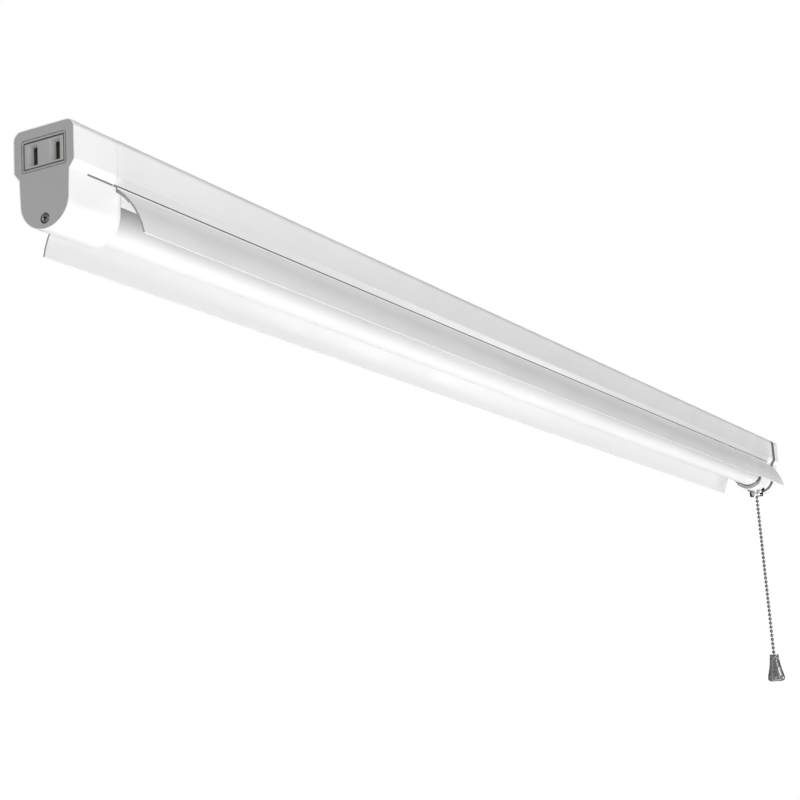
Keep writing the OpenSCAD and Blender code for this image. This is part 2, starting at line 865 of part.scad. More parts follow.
module outlet_wires() {
    root = contact_x1 + fit / 2;
    inner_x = near_joint_x - 4;
    color("white") {
        lane_wire([
            [root, blade_pitch / 2, -outlet_z],
            [root + 2, blade_pitch / 2, -outlet_z],
            [root + 9, -5, -9],
            [inner_x, -lane_y, -lane_z]
        ], -lane_y, 1, inner_bend_x);
        lane_wire([
            [root, -blade_pitch / 2, -outlet_z],
            [root + 2, -blade_pitch / 2, -outlet_z],
            [root + 9, -lane_y - lane_pitch, -9],
            [inner_x, -lane_y - lane_pitch, -lane_z]
        ], -lane_y - lane_pitch, 0, outer_bend_x);
    }
}

module driver_wires() {
    root_z = driver_top_z - wire_r - fit / 2;
    color("black") for (i = [0, 1]) {
        y = lane_y + i * lane_pitch;
        lane_wire([
            [driver_x1 - 3, y - 4, -root_z],
            [driver_x1 + 4, y - 4, -root_z],
            [driver_x1 + 16, y, -lane_z]
        ], y, i + 2, inner_bend_x);
    }
}

module clip(side) {
    y0 = lane_y - wire_r - clip_wall;
    y1 = lane_y + lane_pitch + wire_r + clip_wall;
    difference() {
        box([-clip_w / 2, clip_w / 2], side > 0 ? [y0, y1] : [-y1, -y0],
            [-lane_z - wire_r - clip_wall, -sheet_t]);
        for (i = [0, 1])
            rod_x(-clip_w, clip_w, side * (lane_y + i * lane_pitch), -lane_z, wire_r + fit / 2);
    }
}

module wire_clips() {
    color("ivory") for (x = clip_x) translate([x, 0, 0]) {
        clip(-1);
        if (x > driver_x1 + 20) clip(1);
    }
}

module led_leads() {
    root_z = driver_top_z - lead_r - fit / 2;
    floor_lead_z = floor_z - lead_r - fit;
    color("red") for (side = [-1, 1]) wire([
        [driver_x0 + 3, side * lead_y, -root_z],
        [driver_x0 - 4, side * lead_y, -root_z],
        [driver_x0 - 12, side * lead_y, -floor_lead_z],
        [grommet_x, side * lead_y, -floor_lead_z],
        [grommet_x, side * lead_y, -board_lead_z],
        [grommet_x + side * (board_gap_half + 3), side * lead_y, -board_lead_z]
    ], lead_r);
}

module lead_grommet() {
    color("black") translate([grommet_x, 0, -pan_z]) difference() {
        union() {
            cylinder(h = pan_t, r = grommet_r - 0.02);
            translate([0, 0, -0.8]) cylinder(h = 0.8, r = grommet_r + 1);
        }
        for (side = [-1, 1]) translate([0, side * lead_y, -2]) cylinder(h = pan_t + 4, r = lead_r + fit / 2);
    }
}

// Lead that leaves one pole of the terminal block toward the far end
module pole_lead(pole, route) {
    wire(concat([
        [block_x1 - pole_hole_d + 1, pole_y(pole), -pole_z],
        [block_x1 + 2, pole_y(pole), -pole_z]
    ], route), wire_r);
}

module supply_leads() {
    root = gland_x0 - overlap;
    color("black") {
        pole_lead(0, [[far_joint_x, -1.7, -8], [band_x1 - 3, -1.2, -11], [root - 2, -1.2, -gland_z],
            [root, -1.2, -gland_z]]);
        pole_lead(1, [[far_joint_x, 1.4, -8], [band_x1 - 3, 1.2, -11], [root - 2, 1.2, -gland_z],
            [root, 1.2, -gland_z]]);
    }
}

module switch_leads() {
    tab_end_z = -case_top_z + 2.4;
    a_x = tab_a_x - wire_r - fit;
    b_x = tab_b_x + contact_leaf_t + wire_r + fit;
    color("black") {
        pole_lead(2, [[chain_x - 7.3, pole_y(2), -10], [chain_x - 1.3, 6, -15], [a_x, tab_y, -18],
            [a_x, tab_y, tab_end_z]]);
        pole_lead(3, [[chain_x - 7.3, pole_y(3), -12], [chain_x + 4.7, 7, -16], [b_x, tab_y + 1, -18],
            [b_x, tab_y, tab_end_z]]);
    }
}

// ---- Pull switch ----

case_x0 = chain_x - 7.1;
case_x1 = chain_x + 12.1;
case_top_z = 22;
case_bottom_z = 45.2;
cover_t = 1.1;
cover_y = case_w / 2 - cover_t;
pivot_x = chain_x + lever_arm;
eye_z = pivot_z - pull_travel / 2;
pin_r = 0.9;
tip_r = 1.2;
lever_half = 0.9;
lever_hub_r = 2.4;
drum_y0 = 1.3;
drum_y1 = 4.3;
contact_leaf_t = 0.4;
tab_y = 2.7;
tab_w = 2.2;
tab_a_x = pivot_x - drum_r - 1.6;
tab_b_x = pivot_x + drum_r + 0.4;
collar_r = 4.8;
neck_end_z = 51.5;
neck_top_z = case_bottom_z - case_wall;

module case_slot(x) {
    box([x - fit, x + contact_leaf_t + fit], [tab_y - tab_w / 2 - fit, tab_y + tab_w / 2 + fit],
        [-case_top_z - 2, -case_top_z + 1]);
}

module switch_case() {
    boss_y0 = -case_w / 2 + case_wall;
    color("dimgray") difference() {
        union() {
            difference() {
                box([case_x0, case_x1], [-case_w / 2, cover_y], [-case_bottom_z, -case_top_z]);
                box([case_x0 + case_wall, case_x1 - case_wall], [boss_y0, case_w],
                    [-case_bottom_z + case_wall, -case_top_z - case_wall]);
            }
            translate([pivot_x, boss_y0 - overlap, -pivot_z]) rotate([-90, 0, 0])
                cylinder(h = 2.2 + overlap, r = 2);
            intersection() {
                translate([chain_x, 0, -lobe_z - lobe_r]) cylinder(h = lobe_r, r = collar_r);
                along(chain_x - lobe_r, chain_x + lobe_r) difference() {
                    lobe_outline(end_wall + fit);
                    translate([-lobe_r, -case_bottom_z + overlap]) square([2 * lobe_r, lobe_r]);
                }
            }
            translate([chain_x, 0, -neck_end_z])
                cylinder(h = neck_end_z - neck_top_z - overlap, r = neck_r);
        }
        translate([chain_x, 0, -neck_end_z - 1]) cylinder(h = neck_end_z - neck_top_z + 2, r = neck_bore);
        translate([pivot_x, boss_y0, -pivot_z]) rotate([-90, 0, 0]) cylinder(h = 4, r = pin_r + 0.02);
        case_slot(tab_a_x);
        case_slot(tab_b_x);
    }
}

module switch_cover() {
    color("gray") box([case_x0, case_x1], [cover_y, case_w / 2], [-case_bottom_z, -case_top_z]);
}

module switch_pin() {
    color("silver") translate([pivot_x, -case_w / 2 + case_wall, -pivot_z]) rotate([-90, 0, 0])
        cylinder(h = cover_y + case_w / 2 - case_wall - fit, r = pin_r);
}

// Two leaves that the drum bridges, each with a tab through the case's top
module switch_contacts() {
    leaf_y = [tab_y - tab_w / 2, tab_y + tab_w / 2];
    top_z = pivot_z - drum_r - 0.3;
    bottom_z = pivot_z + drum_r + 0.3 + contact_leaf_t;
    tab_z = case_top_z - 2.6;
    color("goldenrod") {
        box([tab_a_x, pivot_x], leaf_y, [-top_z, -top_z + contact_leaf_t]);
        box([tab_a_x, tab_a_x + contact_leaf_t], leaf_y, [-top_z, -tab_z]);
        box([pivot_x, tab_b_x + contact_leaf_t], leaf_y, [-bottom_z, -bottom_z + contact_leaf_t]);
        box([tab_b_x, tab_b_x + contact_leaf_t], leaf_y, [-bottom_z, -tab_z]);
    }
}

module switch_drum() {
    color("saddlebrown") translate([pivot_x, drum_y0, -pivot_z]) rotate([-90, 0, 0]) difference() {
        cylinder(h = drum_y1 - drum_y0, r = drum_r);
        translate([0, 0, -1]) cylinder(h = drum_y1 - drum_y0 + 2, r = pin_r + 0.05);
        for (turn = [0 : 60 : 300])
            rotate(turn) translate([drum_r + 0.2, 0, -1]) cylinder(h = 1.6, r = 0.6);
    }
}

module switch_lever() {
    lift = asin(pull_travel / 2 / lever_arm);
    color("whitesmoke") translate([pivot_x, -lever_half, -pivot_z]) rotate([-90, 0, 0]) difference() {
        union() {
            cylinder(h = 2 * lever_half, r = lever_hub_r);
            rotate(180 + lift) {
                translate([0, -0.4, 0]) cube([lever_arm, 0.8, 2 * lever_half]);
                translate([lever_arm, 0, 0]) cylinder(h = 2 * lever_half, r = tip_r);
            }
        }
        translate([0, 0, -1]) cylinder(h = 2 * lever_half + 2, r = pin_r + 0.05);
    }
}

yoke_half_x = 1.3;
yoke_inner_y = 1.2;
yoke_t = 0.6;
eye_half = 1.5;
slab_t = 0.8;
spring_seat_z = eye_z + 3.5;
spring_seat_r = 3;
rod_r = 0.7;
cup_r = 2;
socket_gap = 0.06;
bead_r = bead_d / 2;
cup_top_z = lead_z - bead_r - 2;
cup_end_z = lead_z + 1;

module pull_link() {
    yoke_y = yoke_inner_y + yoke_t;
    color("silver") translate([chain_x, 0, 0]) difference() {
        union() {
            for (z = [eye_z - eye_half - slab_t, eye_z + eye_half])
                box([-yoke_half_x, yoke_half_x], [-yoke_y, yoke_y], [-z - slab_t, -z]);
            for (side = [-1, 1])
                box([-yoke_half_x, yoke_half_x],
                    side > 0 ? [yoke_inner_y, yoke_y] : [-yoke_y, -yoke_inner_y],
                    [-eye_z - eye_half - slab_t / 2, -eye_z + eye_half + slab_t / 2]);
            translate([0, 0, -spring_seat_z - slab_t]) cylinder(h = slab_t, r = spring_seat_r);
            translate([0, 0, -cup_top_z - overlap])
                cylinder(h = cup_top_z - eye_z - eye_half, r = rod_r);
            translate([0, 0, -cup_end_z]) cylinder(h = cup_end_z - cup_top_z, r = cup_r);
        }
        translate([0, 0, -lead_z]) sphere(r = bead_r + socket_gap);
        translate([0, 0, -cup_end_z - 1]) cylinder(h = 1.6, r = bead_r - 0.3);
    }
}

module switch_spring() {
    top_z = spring_seat_z + slab_t;
    color("silver") translate([chain_x, 0, -neck_top_z]) difference() {
        cylinder(h = neck_top_z - top_z, r = spring_seat_r);
        translate([0, 0, -1]) cylinder(h = neck_top_z - top_z + 2, r = neck_bore + fit);
    }
}

saddle_bottom_z = 50.4;
saddle_t = 0.9;

// Thin flange that follows the lobe, on a boss that is flat below
module saddle_washer() {
    color("silver") difference() {
        union() {
            intersection() {
                translate([chain_x, 0, -saddle_bottom_z]) cylinder(h = 5, r = saddle_d / 2);
                along(chain_x - saddle_d, chain_x + saddle_d) lobe_outline(-saddle_gap - saddle_t);
            }
            translate([chain_x, 0, -saddle_bottom_z]) cylinder(h = 3, r = bell_d / 2 - 0.1);
        }
        along(chain_x - saddle_d, chain_x + saddle_d) lobe_outline(-saddle_gap);
        translate([chain_x, 0, -saddle_bottom_z - 1]) cylinder(h = 7, r = neck_r + fit);
    }
}

bell_h = 3.5;
bell_mouth_r = 5.3;

module bell_mouth() {
    outer = bell_d / 2;
    floor = neck_end_z - saddle_bottom_z + fit;
    color("silver") translate([chain_x, 0, -saddle_bottom_z]) rotate_extrude() polygon([
        [neck_r + 0.05, 0],
        [outer - 0.2, 0],
        [outer, -0.2],
        [outer, -bell_h + 0.4],
        [outer - 0.4, -bell_h],
        [bell_mouth_r, -bell_h],
        [neck_bore + 1.4, -floor - 1.2],
        [neck_bore + 0.5, -floor],
        [neck_r + 0.05, -floor]
    ]);
}

// ---- Chain and knob ----

function bead_z(i) = lead_z + i * bead_pitch;

module chain_bead() {
    color("silver") translate([chain_x, 0, -lead_z]) sphere(r = bead_r, $fn = 32);
}

module ball_chain() {
    color("silver") translate([chain_x, 0, 0]) {
        for (i = [1 : beads]) translate([0, 0, -bead_z(i)]) sphere(r = bead_r, $fn = 32);
        translate([0, 0, -bead_z(beads)])
            cylinder(h = bead_z(beads) - lead_z - bead_r - fit / 2, r = link_d / 2, $fn = 24);
    }
}

stop_r = 2.4;
stop_top_z = bead_z(beads) - bead_r - 0.4;
stop_end_z = bead_z(beads) + bead_r + 0.4;

// Ferrule closed round the last bead, which the knob rests on
module chain_stop() {
    color("silver") translate([chain_x, 0, 0]) difference() {
        translate([0, 0, -stop_end_z]) cylinder(h = stop_end_z - stop_top_z, r = stop_r);
        translate([0, 0, -bead_z(beads)]) sphere(r = bead_r + 0.02, $fn = 32);
        translate([0, 0, -bead_z(beads)]) cylinder(h = bead_d, r = link_d / 2 + 0.02, $fn = 24);
    }
}

module pull_knob() {
    bore = bead_r + 0.3;
    chamber = stop_r + 0.3;
    chamber_z = knob_top_z - stop_top_z + seat;
    top = knob_top_d / 2;
    wide = knob_d / 2;
    color("dimgray", 0.7) translate([chain_x, 0, -knob_top_z]) rotate_extrude($fn = 64) polygon(concat(
        [[bore, 0], [top - 0.5, 0], [top, -0.5], [top + 0.5, -6], [top + 1.4, -11.5]],
        [for (a = [0 : 15 : 75]) [wide - 2.4 * (1 - sin(a + 15)), -knob_h + 8.5 - 5 * a / 75]],
        [for (a = [0 : 15 : 75]) [wide - 3.2 + 3.2 * cos(a), -knob_h + 3.2 - 3.2 * sin(a)]],
        [[wide - 3.4, -knob_h], [chamber, -knob_h], [chamber, chamber_z], [bore, chamber_z]]
    ));
}

housing_channel();
near_shroud();
near_plate();
near_screw();
outlet_insert();
outlet_contacts();
reflector();
reflector_screws();
lens();
led_board_near();
led_board_far();
led_chips_near();
led_chips_far();
board_link();
board_screws();
far_shroud();
far_band();
far_cap();
cap_screws();
cord_gland();
driver_tray();
driver_board();
driver_transformer();
driver_capacitors();
driver_chips();
driver_screws();
terminal_block();
outlet_wires();
wire_clips();
driver_wires();
led_leads();
lead_grommet();
supply_leads();
switch_leads();
switch_case();
switch_cover();
switch_pin();
switch_contacts();
switch_drum();
switch_lever();
pull_link();
switch_spring();
saddle_washer();
bell_mouth();
chain_bead();
ball_chain();
chain_stop();
pull_knob();
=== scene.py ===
import json
import math

import bmesh
import bpy
from mathutils import Matrix, Vector


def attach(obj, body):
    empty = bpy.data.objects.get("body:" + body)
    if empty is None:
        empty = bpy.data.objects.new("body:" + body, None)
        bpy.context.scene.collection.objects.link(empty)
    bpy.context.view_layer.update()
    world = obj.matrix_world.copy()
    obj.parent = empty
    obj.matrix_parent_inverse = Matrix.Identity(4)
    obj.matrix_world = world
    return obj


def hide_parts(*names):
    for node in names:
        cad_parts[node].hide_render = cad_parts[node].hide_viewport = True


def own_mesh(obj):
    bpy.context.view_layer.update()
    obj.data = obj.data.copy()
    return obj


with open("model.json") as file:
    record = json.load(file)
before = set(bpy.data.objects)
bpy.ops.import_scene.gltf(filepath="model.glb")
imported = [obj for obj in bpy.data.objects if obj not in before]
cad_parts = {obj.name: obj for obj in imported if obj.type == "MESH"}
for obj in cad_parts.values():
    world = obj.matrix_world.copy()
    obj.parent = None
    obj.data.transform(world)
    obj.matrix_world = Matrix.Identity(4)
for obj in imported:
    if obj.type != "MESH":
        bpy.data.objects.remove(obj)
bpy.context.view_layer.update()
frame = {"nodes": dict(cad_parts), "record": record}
NODES = frame["nodes"]

# ---- Sizes of the hanging shop light, in metres ----

MM = 0.001
CHAIN_X = 507.3 * MM
LEAD_Z = -51 * MM
BEAD_PITCH = 3.85 * MM
BEAD_R = 1.5 * MM
LINK_R = 0.35 * MM
CHAIN_BEADS = 44
KNOB_TOP_Z = -203.5 * MM
# Heights between which the lens's painted shade fades from dark grey to clear.
LENS_RAIL_Z = -28 * MM
LENS_CLEAR_Z = -46 * MM
# Axis and radius of the lens, and the width of the painted shadow ring around it.
LENS_AXIS_Z = -32.7 * MM
LENS_R = 12.6 * MM
LENS_GAP_SHADOW_WIDTH = 0.7 * MM
END_RIM_TOP_Z = -26 * MM
# The strip of the housing's shoulders that takes the painted seam shadow.
SEAM_Z = -22.95 * MM
SEAM_NEAR_Y = 14.3 * MM
SEAM_FAR_Y = 15.6 * MM
BARE_EDGE = 0.35 * MM

# ---- Materials ----


def new_material(name):
    material = bpy.data.materials.new(name)
    material.use_nodes = True
    tree = material.node_tree
    shader = tree.nodes["Principled BSDF"]
    return material, tree, shader


def add_node(tree, kind, **values):
    node = tree.nodes.new(kind)
    for key, value in values.items():
        if key in node.inputs:
            node.inputs[key].default_value = value
        else:
            setattr(node, key, value)
    return node


def object_coordinates(tree, scale=(1, 1, 1)):
    coordinates = add_node(tree, "ShaderNodeTexCoord")
    mapping = add_node(tree, "ShaderNodeMapping", Scale=scale)
    tree.links.new(coordinates.outputs["Object"], mapping.inputs["Vector"])
    return mapping.outputs["Vector"]


def add_noise(tree, vector, scale, detail=3.0, roughness=0.5):
    noise = add_node(tree, "ShaderNodeTexNoise", Scale=scale, Detail=detail, Roughness=roughness)
    tree.links.new(vector, noise.inputs["Vector"])
    return noise.outputs["Fac"]


def add_range(tree, value, low, high, out_low, out_high):
    remap = add_node(tree, "ShaderNodeMapRange")
    remap.inputs["From Min"].default_value = low
    remap.inputs["From Max"].default_value = high
    remap.inputs["To Min"].default_value = out_low
    remap.inputs["To Max"].default_value = out_high
    tree.links.new(value, remap.inputs["Value"])
    return remap.outputs["Result"]


def add_bump(tree, shader, height, strength, distance):
    bump = add_node(tree, "ShaderNodeBump", Strength=strength, Distance=distance)
    tree.links.new(height, bump.inputs["Height"])
    tree.links.new(bump.outputs["Normal"], shader.inputs["Normal"])


def shade_between(tree, fac, dark, light, target):
    ramp = add_node(tree, "ShaderNodeValToRGB")
    ramp.color_ramp.elements[0].color = (*dark, 1)
    ramp.color_ramp.elements[1].color = (*light, 1)
    tree.links.new(fac, ramp.inputs["Fac"])
    tree.links.new(ramp.outputs["Color"], target)


def moulded_plastic(name, colour, roughness, spread=0.012, grain=2600, depth=0.015):
    """Moulded plastic: faint flow marks in the colour, uneven gloss and a fine mould grain."""
    material, tree, shader = new_material(name)
    vector = object_coordinates(tree)
    flow = add_noise(tree, vector, 14, 4)
    light = tuple(min(1, c + spread) for c in colour)
    dark = tuple(max(0, c - spread) for c in colour)
    shade_between(tree, flow, dark, light, shader.inputs["Base Color"])
    patches = add_noise(tree, vector, 60, 3)
    gloss = add_range(tree, patches, 0.3, 0.7, roughness - 0.05, roughness + 0.05)
    tree.links.new(gloss, shader.inputs["Roughness"])
    fine = add_noise(tree, vector, grain, 2)
    add_bump(tree, shader, fine, 0.25, depth * MM)
    return material


def sprayed_paint(name, colour, roughness):
    """Powder paint on sheet steel: orange peel, a little dust and slight unevenness in its gloss."""
    material, tree, shader = new_material(name)
    vector = object_coordinates(tree)
    dust = add_noise(tree, vector, 9, 5)
    dark = tuple(c - 0.02 for c in colour)
    shade_between(tree, dust, dark, colour, shader.inputs["Base Color"])
    peel = add_noise(tree, vector, 900, 2)
    gloss = add_range(tree, add_noise(tree, vector, 40, 3), 0.3, 0.7, roughness - 0.06, roughness + 0.06)
    tree.links.new(gloss, shader.inputs["Roughness"])
    add_bump(tree, shader, peel, 0.07, 0.03 * MM)
    shader.inputs["Coat Weight"].default_value = 0.15
    shader.inputs["Coat Roughness"].default_value = 0.2
    return material


def plated_metal(name, colour, roughness, scratch=0.06):
    """Bright plated or turned metal with fine turning marks and small smudges."""
    material, tree, shader = new_material(name)
    shader.inputs["Metallic"].default_value = 1
    vector = object_coordinates(tree)
    tarnish = add_noise(tree, vector, 220, 4)
    dark = tuple(c * 0.9 for c in colour)
    shade_between(tree, tarnish, dark, colour, shader.inputs["Base Color"])
    smudge = add_noise(tree, vector, 400, 4)
    gloss = add_range(tree, smudge, 0.3, 0.75, roughness, roughness + scratch)
    tree.links.new(gloss, shader.inputs["Roughness"])
    lines = add_noise(tree, object_coordinates(tree, (1, 1, 14)), 700, 2)
    add_bump(tree, shader, lines, 0.08, 0.01 * MM)
    return material


def diffusing_lens(name):
    """Opal extrusion: milky, with painted shade greying it towards its rails, and faint drawing lines along its
    length."""
    material, tree, shader = new_material(name)
    vector = object_coordinates(tree)
    height = add_node(tree, "ShaderNodeSeparateXYZ")
    tree.links.new(vector, height.inputs["Vector"])
    # Painted shade: the base colour runs from dark grey at the rails to near white at the bottom.
    depth = add_range(tree, height.outputs["Z"], LENS_RAIL_Z, LENS_CLEAR_Z, 0, 1)
    cloud = add_range(tree, add_noise(tree, vector, 6, 3), 0.3, 0.7, -0.02, 0.02)
    painted_shade_and_cloud = add_node(tree, "ShaderNodeMath", operation="ADD")
    tree.links.new(depth, painted_shade_and_cloud.inputs[0])
    tree.links.new(cloud, painted_shade_and_cloud.inputs[1])
    shade_between(tree, painted_shade_and_cloud.outputs[0], (0.14, 0.14, 0.14), (0.95, 0.95, 0.95), shader.inputs["Base Color"])
    lines = add_noise(tree, object_coordinates(tree, (0.01, 1, 1)), 900, 2)
    gloss = add_range(tree, lines, 0.3, 0.7, 0.3, 0.4)
    tree.links.new(gloss, shader.inputs["Roughness"])
    shader.inputs["Subsurface Weight"].default_value = 0.2
    shader.inputs["Subsurface Radius"].default_value = (0.002, 0.002, 0.002)
    add_bump(tree, shader, lines, 0.12, 0.01 * MM)
    return material


def smoky_plastic(name):
    """Clear knob in smoky plastic: tinted, glossy, with faint swirls and fine scratches."""
    material, tree, shader = new_material(name)
    vector = object_coordinates(tree)
    swirl = add_noise(tree, vector, 260, 4)
    shade_between(tree, swirl, (0.13, 0.13, 0.135), (0.24, 0.24, 0.24), shader.inputs["Base Color"])
    gloss = add_range(tree, add_noise(tree, vector, 900, 3), 0.4, 0.8, 0.03, 0.1)
    tree.links.new(gloss, shader.inputs["Roughness"])
    shader.inputs["Transmission Weight"].default_value = 0.75
    shader.inputs["IOR"].default_value = 1.49
    shader.inputs["Coat Weight"].default_value = 1
    shader.inputs["Coat Roughness"].default_value = 0.03
    add_bump(tree, shader, swirl, 0.05, 0.02 * MM)
    return material


def rubber_sheath(name, colour):
    material, tree, shader = new_material(name)
    vector = object_coordinates(tree)
    bloom = add_noise(tree, vector, 120, 4)
    dark = tuple(c * 0.8 for c in colour)
    shade_between(tree, bloom, dark, colour, shader.inputs["Base Color"])
    gloss = add_range(tree, bloom, 0.3, 0.7, 0.45, 0.6)
    tree.links.new(gloss, shader.inputs["Roughness"])
    add_bump(tree, shader, add_noise(tree, vector, 1800, 2), 0.2, 0.02 * MM)
    return material


MATERIALS = {
    "white_paint": sprayed_paint("white_paint", (0.86, 0.86, 0.86), 0.38),
    "white_plastic": moulded_plastic("white_plastic", (0.88, 0.88, 0.88), 0.34),
    "grey_plastic": moulded_plastic("grey_plastic", (0.36, 0.36, 0.36), 0.5, 0.01),
    "steel": plated_metal("steel", (0.5, 0.5, 0.51), 0.3),
    # A darker copy of grey_plastic: painted shade for the grey band.
    "deep_grey_plastic": moulded_plastic("deep_grey_plastic", (0.14, 0.14, 0.14), 0.5, 0.01),
    "brass": plated_metal("brass", (0.8, 0.6, 0.3), 0.25),
    "opal_lens": diffusing_lens("opal_lens"),
    "board_white": moulded_plastic("board_white", (0.86, 0.86, 0.85), 0.4),
    "chip_yellow": moulded_plastic("chip_yellow", (0.85, 0.72, 0.3), 0.3),
    "ivory_nylon": moulded_plastic("ivory_nylon", (0.82, 0.79, 0.7), 0.45),
    "dark_plastic": moulded_plastic("dark_plastic", (0.03, 0.03, 0.03), 0.5, 0.006),
    "board_green": moulded_plastic("board_green", (0.03, 0.16, 0.07), 0.35),
    "capacitor_blue": moulded_plastic("capacitor_blue", (0.03, 0.05, 0.2), 0.25),
    "wire_white": rubber_sheath("wire_white", (0.8, 0.8, 0.8)),
    "wire_black": rubber_sheath("wire_black", (0.03, 0.03, 0.03)),
    "wire_red": rubber_sheath("wire_red", (0.5, 0.03, 0.03)),
    "black_rubber": rubber_sheath("black_rubber", (0.03, 0.03, 0.03)),
    "brown_plastic": moulded_plastic("brown_plastic", (0.2, 0.1, 0.05), 0.4),
    "chrome": plated_metal("chrome", (0.52, 0.52, 0.53), 0.06),
    "dark_nickel": plated_metal("dark_nickel", (0.16, 0.16, 0.165), 0.12),
    "sheared_edge": plated_metal("sheared_edge", (0.34, 0.34, 0.34), 0.5),
    # Near black, painted on seams, gaps and slot depths as the shadow in them.
    "shadowed_gap": moulded_plastic("shadowed_gap", (0.06, 0.06, 0.06), 0.6, 0.01),
    "smoky_clear": smoky_plastic("smoky_clear"),
}


RECORD_SLOTS = {part["node"]: part["material_slot"] for part in frame["record"]["subparts"]}


def dress_nodes():
    """Gives every CAD node the finish of its slot in the record."""
    for node, slot in RECORD_SLOTS.items():
        materials = NODES[node].data.materials
        materials.clear()
        materials.append(MATERIALS[slot])


dress_nodes()

# ---- Making pieces ----

CARRIER = {node: body for body, nodes in frame["record"]["behaviour"]["bodies"].items() for node in nodes}


def plain_mesh(piece):
    """Turns a piece with modifiers into a plain mesh and drops the modifiers."""
    graph = bpy.context.evaluated_depsgraph_get()
    mesh = bpy.data.meshes.new_from_object(piece.evaluated_get(graph))
    piece.modifiers.clear()
    piece.data = mesh
    return piece


def add_object(name, data):
    thing = bpy.data.objects.new(name, data)
    bpy.context.scene.collection.objects.link(thing)
    return thing


def hand_over(piece, *nodes):
    """Lets a finished piece stand for CAD nodes, on their body and in their finish."""
    slot = RECORD_SLOTS[nodes[0]]
    if not piece.data.materials:
        piece.data.materials.append(MATERIALS[slot])
    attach(piece, CARRIER[nodes[0]])
    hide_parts(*nodes)


def smooth_by_angle(mesh, degrees):
    mesh.shade_smooth()
    mesh.set_sharp_from_angle(angle=math.radians(degrees))


def ease_edges(node, name, radius, segments=2):
    """The node's own shape with its edges eased, as a mould or a brake leaves them."""
    mesh = NODES[node].data.copy()
    shape = bmesh.new()
    shape.from_mesh(mesh)
    bmesh.ops.remove_doubles(shape, verts=shape.verts, dist=2e-6)
    bmesh.ops.dissolve_limit(shape, angle_limit=math.radians(0.4), verts=shape.verts, edges=shape.edges)
    shape.to_mesh(mesh)
    shape.free()
    mesh.materials.clear()
    piece = add_object(name, mesh)
    ease = piece.modifiers.new("ease", "BEVEL")
    ease.width = radius * MM
    ease.segments = segments
    ease.limit_method = "ANGLE"
    ease.angle_limit = math.radians(28)
    ease.use_clamp_overlap = True
    ease.miter_outer = "MITER_ARC"
    plain_mesh(piece)
    smooth_by_angle(piece.data, 50)
    weigh = piece.modifiers.new("weigh", "WEIGHTED_NORMAL")
    weigh.keep_sharp = True
    weigh.weight = 90
    plain_mesh(piece)
    hand_over(piece, node)
    return piece


def turned(name, profile, segments=96):
    """Turns a closed profile of (radius, z) points, in millimetres, about the chain's axis at rest."""
    shape = bmesh.new()
    rings = []
    for radius, z in profile:
        rings.append([
            shape.verts.new((CHAIN_X + radius * MM * math.cos(turn), radius * MM * math.sin(turn), z * MM))
            for turn in (2 * math.pi * i / segments for i in range(segments))])
    for ring, following in zip(rings, rings[1:] + rings[:1]):
        for i in range(segments):
            j = (i + 1) % segments
            shape.faces.new((ring[i], ring[j], following[j], following[i]))
    bmesh.ops.recalc_face_normals(shape, faces=shape.faces)
    mesh = bpy.data.meshes.new(name)
    shape.to_mesh(mesh)
    shape.free()
    smooth_by_angle(mesh, 35)
    return add_object(name, mesh)


# ---- Geometry Nodes ----


def new_tree(name, sizes):
    """An empty geometry tree with one named input for each size."""
    tree = bpy.data.node_groups.new(name, "GeometryNodeTree")
    tree.interface.new_socket("Geometry", in_out="INPUT", socket_type="NodeSocketGeometry")
    for label, (kind, value) in sizes.items():
        socket = tree.interface.new_socket(label, in_out="INPUT", socket_type=kind)
        if value is not None:
            socket.default_value = value
    tree.interface.new_socket("Geometry", in_out="OUTPUT", socket_type="NodeSocketGeometry")
    return tree, add_node(tree, "NodeGroupInput"), add_node(tree, "NodeGroupOutput")


def finish_tree(tree, shape, material, out):
    real = add_node(tree, "GeometryNodeRealizeInstances")
    finish = add_node(tree, "GeometryNodeSetMaterial", Material=material)
    tree.links.new(shape, real.inputs["Geometry"])
    tree.links.new(real.outputs["Geometry"], finish.inputs["Geometry"])
    tree.links.new(finish.outputs["Geometry"], out.inputs["Geometry"])


def grow(piece, tree, **values):
    """Runs a tree on a piece with the given sizes and keeps the result as a plain mesh."""
    modifier = piece.modifiers.new(tree.name, "NODES")
    modifier.node_group = tree
    for socket in tree.interface.items_tree:
        key = socket.name.lower().replace(" ", "_")
        if socket.in_out == "INPUT" and key in values:
            modifier[socket.identifier] = values[key]
    return plain_mesh(piece)


def times(tree, value, factor):
    product = add_node(tree, "ShaderNodeMath", operation="MULTIPLY")
    tree.links.new(value, product.inputs[0])
    product.inputs[1].default_value = factor
    return product.outputs[0]


def upward(tree, length):
    """A vector straight up, as long as the given value."""
    vector = add_node(tree, "ShaderNodeCombineXYZ")
    tree.links.new(length, vector.inputs["Z"])
    return vector.outputs["Vector"]


def cylinder(tree, vertices, radius, depth):
    """A cylinder about its own middle."""
    shape = add_node(tree, "GeometryNodeMeshCylinder", Vertices=vertices)
    tree.links.new(radius, shape.inputs["Radius"])
    tree.links.new(depth, shape.inputs["Depth"])
    return shape.outputs["Mesh"]


def cone(tree, vertices, bottom, top, depth):
    """A cut-off cone that stands on the middle of its base."""
    shape = add_node(tree, "GeometryNodeMeshCone", Vertices=vertices)
    tree.links.new(bottom, shape.inputs["Radius Bottom"])
    tree.links.new(top, shape.inputs["Radius Top"])
    tree.links.new(depth, shape.inputs["Depth"])
    return shape.outputs["Mesh"]


def moved(tree, shape, lift=None, **place):
    """Squeezes, turns and lifts a shape, in that order."""
    change = add_node(tree, "GeometryNodeTransform", **place)
    tree.links.new(shape, change.inputs["Geometry"])
    if lift is not None:
        tree.links.new(upward(tree, lift), change.inputs["Translation"])
    return change.outputs["Geometry"]


